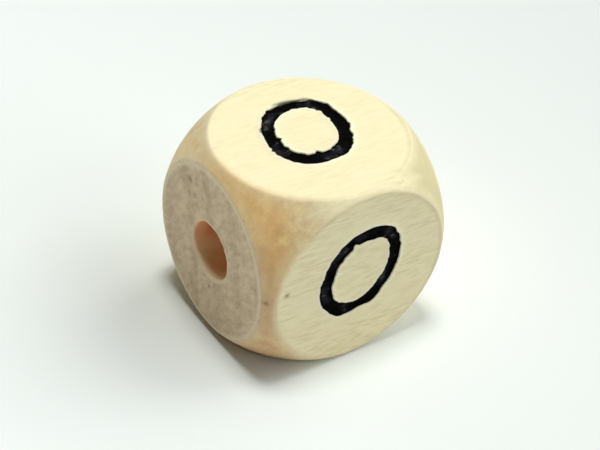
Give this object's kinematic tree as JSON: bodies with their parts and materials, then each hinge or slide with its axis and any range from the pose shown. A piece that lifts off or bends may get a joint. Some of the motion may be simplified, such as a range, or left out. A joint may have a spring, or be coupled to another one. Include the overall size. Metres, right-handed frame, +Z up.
{
  "type": "wooden cube bead",
  "caption": "Small square wooden bead with ball-turned corners, a round cord hole through it, and a plain pressed and inked oval ring on each long-grain side.",
  "frame": {"origin": "middle of the bore, which is the middle of the bead", "axes": "+X along the bore and the grain, +Z up out of one of the four marked sides"},
  "size_m": [0.0106, 0.01, 0.01],
  "materials": {
    "wood": "bare, tumbled smooth",
    "ink": "black stamping ink, slightly glossy"
  },
  "bodies": {
    "root": {"bead": "wood", "ink_rings": "ink"}
  },
  "joints": []
}
